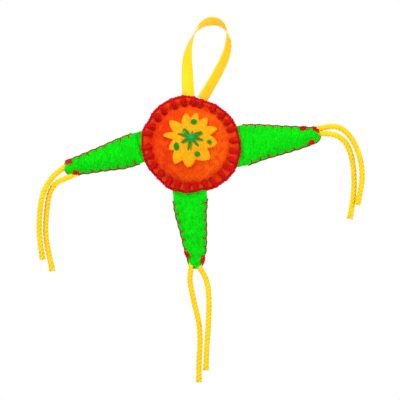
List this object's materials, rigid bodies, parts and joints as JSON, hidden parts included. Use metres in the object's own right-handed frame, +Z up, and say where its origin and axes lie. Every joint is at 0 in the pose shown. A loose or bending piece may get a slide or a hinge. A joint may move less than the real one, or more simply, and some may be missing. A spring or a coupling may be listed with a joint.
{
  "type": "hanging felt star ornament",
  "caption": "Stuffed felt star pinata ornament: round disc with a sewn flower, three stuffed points with yarn tassels, and a ribbon loop.",
  "frame": {"origin": "inside the top of the ribbon loop, where a hook or twig carries the ornament", "axes": "+Z up along the hanging direction, front of the disc faces -Y, +X to the right seen from the front"},
  "size_m": [0.1636, 0.0206, 0.1827],
  "materials": {
    "orange_felt": "matte mottled felt",
    "green_felt": "matte felt",
    "yellow_felt": "matte felt",
    "red_yarn": "plied wool yarn",
    "rust_thread": "twisted thread",
    "yellow_yarn": "plied wool yarn",
    "yellow_ribbon": "satin",
    "green_floss": "stranded embroidery floss",
    "fibre_filling": "loose fibre"
  },
  "bodies": {
    "hanger": {"hanging_ribbon": "yellow_ribbon"},
    "disc": {"front_disc": "orange_felt", "back_disc": "orange_felt", "disc_filling": "fibre_filling", "disc_blanket_stitch": "red_yarn", "ribbon_seam_tails": "yellow_ribbon", "flower": "yellow_felt", "flower_star_stitches": "green_floss", "flower_knots": "green_floss", "left_point_tab": "green_felt", "right_point_tab": "green_felt", "bottom_point_tab": "green_felt"},
    "left_point": {"left_point_front": "green_felt", "left_point_back": "green_felt", "left_point_filling": "fibre_filling", "left_point_stitching": "rust_thread", "left_tip_binding": "red_yarn", "left_tassel_root": "yellow_yarn"},
    "left_tassel": {"left_tassel_strand_a": "yellow_yarn", "left_tassel_strand_b": "yellow_yarn"},
    "right_point": {"right_point_front": "green_felt", "right_point_back": "green_felt", "right_point_filling": "fibre_filling", "right_point_stitching": "rust_thread", "right_tip_binding": "red_yarn", "right_tassel_root": "yellow_yarn"},
    "right_tassel": {"right_tassel_strand_a": "yellow_yarn", "right_tassel_strand_b": "yellow_yarn"},
    "bottom_point": {"bottom_point_front": "green_felt", "bottom_point_back": "green_felt", "bottom_point_filling": "fibre_filling", "bottom_point_stitching": "rust_thread", "bottom_tip_binding": "red_yarn", "bottom_tassel_root": "yellow_yarn"},
    "bottom_tassel": {"bottom_tassel_strand_a": "yellow_yarn", "bottom_tassel_strand_b": "yellow_yarn"}
  },
  "joints": [
    {"name": "ribbon_fold", "type": "hinge", "parent": "hanger", "child": "disc", "pos_m": [-0.01025, 0, -0.03605], "axis": [1, 0, 0], "range_deg": [-60, 60]},
    {"name": "left_point_fold", "type": "hinge", "parent": "disc", "child": "left_point", "pos_m": [-0.0346, 0, -0.0604], "axis": [0, 0, 1], "range_deg": [-35, 35], "stiffness_Nm_per_rad": 0.002},
    {"name": "left_tassel_swing", "type": "hinge", "parent": "left_point", "child": "left_tassel", "pos_m": [-0.07368, 0, -0.07484], "axis": [1, 0, 0], "range_deg": [-60, 60]},
    {"name": "right_point_fold", "type": "hinge", "parent": "disc", "child": "right_point", "pos_m": [0.0141, 0, -0.0604], "axis": [0, 0, 1], "range_deg": [-35, 35], "stiffness_Nm_per_rad": 0.002},
    {"name": "right_tassel_swing", "type": "hinge", "parent": "right_point", "child": "right_tassel", "pos_m": [0.05658, 0, -0.05321], "axis": [1, 0, 0], "range_deg": [-60, 60]},
    {"name": "bottom_point_fold", "type": "hinge", "parent": "disc", "child": "bottom_point", "pos_m": [-0.01025, 0, -0.08475], "axis": [1, 0, 0], "range_deg": [-35, 35], "stiffness_Nm_per_rad": 0.002},
    {"name": "bottom_tassel_swing", "type": "hinge", "parent": "bottom_point", "child": "bottom_tassel", "pos_m": [-0.00731, 0, -0.12382], "axis": [1, 0, 0], "range_deg": [-60, 60]}
  ]
}
